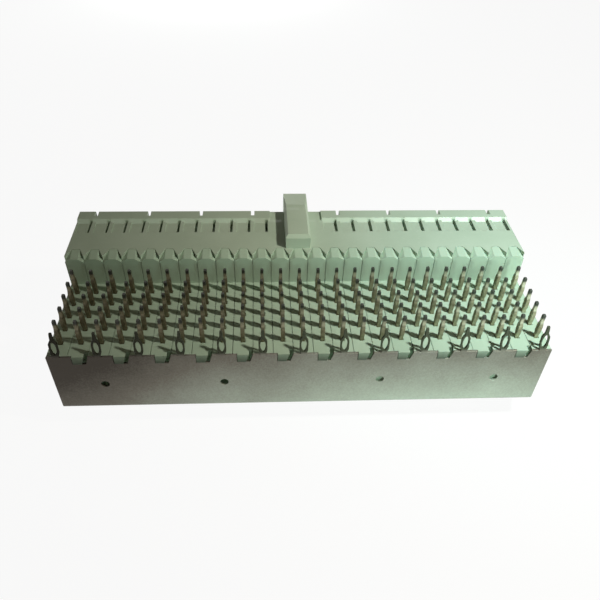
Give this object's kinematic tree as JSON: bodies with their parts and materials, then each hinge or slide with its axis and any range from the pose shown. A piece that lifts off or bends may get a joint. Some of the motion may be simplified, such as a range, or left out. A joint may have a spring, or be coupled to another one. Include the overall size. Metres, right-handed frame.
{
  "type": "right-angle pin header",
  "caption": "Right-angle press-fit board connector lying tails up: moulded housing with a polarising rib, stacked wafers, rows of bent contacts and a folded rear shield.",
  "frame": {"origin": "middle of the part's plan, on the face that it rests on", "axes": "+X along the columns, +Y out of the mating face, +Z towards the board and the tail tips"},
  "size_m": [0.05, 0.0226, 0.0157],
  "materials": {
    "housing_plastic": "satin moulded, pale grey-green",
    "wafer_plastic": "satin moulded, pale grey-green",
    "tail_metal": "dull tin plate",
    "shield_metal": "dull plated sheet with fine rolling lines"
  },
  "bodies": {
    "root": {"front_housing": "housing_plastic", "rear_shield": "shield_metal", "wafer_01": "wafer_plastic", "contacts_01": "tail_metal", "wafer_02": "wafer_plastic", "contacts_02": "tail_metal", "wafer_03": "wafer_plastic", "contacts_03": "tail_metal", "wafer_04": "wafer_plastic", "contacts_04": "tail_metal", "wafer_05": "wafer_plastic", "contacts_05": "tail_metal", "wafer_06": "wafer_plastic", "contacts_06": "tail_metal", "wafer_07": "wafer_plastic", "contacts_07": "tail_metal", "wafer_08": "wafer_plastic", "contacts_08": "tail_metal", "wafer_09": "wafer_plastic", "contacts_09": "tail_metal", "wafer_10": "wafer_plastic", "contacts_10": "tail_metal", "wafer_11": "wafer_plastic", "contacts_11": "tail_metal", "wafer_12": "wafer_plastic", "contacts_12": "tail_metal", "wafer_13": "wafer_plastic", "contacts_13": "tail_metal", "wafer_14": "wafer_plastic", "contacts_14": "tail_metal", "wafer_15": "wafer_plastic", "contacts_15": "tail_metal", "wafer_16": "wafer_plastic", "contacts_16": "tail_metal", "wafer_17": "wafer_plastic", "contacts_17": "tail_metal", "wafer_18": "wafer_plastic", "contacts_18": "tail_metal", "wafer_19": "wafer_plastic", "contacts_19": "tail_metal", "wafer_20": "wafer_plastic", "contacts_20": "tail_metal", "wafer_21": "wafer_plastic", "contacts_21": "tail_metal", "wafer_22": "wafer_plastic", "contacts_22": "tail_metal", "wafer_23": "wafer_plastic", "contacts_23": "tail_metal", "wafer_24": "wafer_plastic", "contacts_24": "tail_metal", "wafer_25": "wafer_plastic", "contacts_25": "tail_metal"}
  },
  "joints": []
}
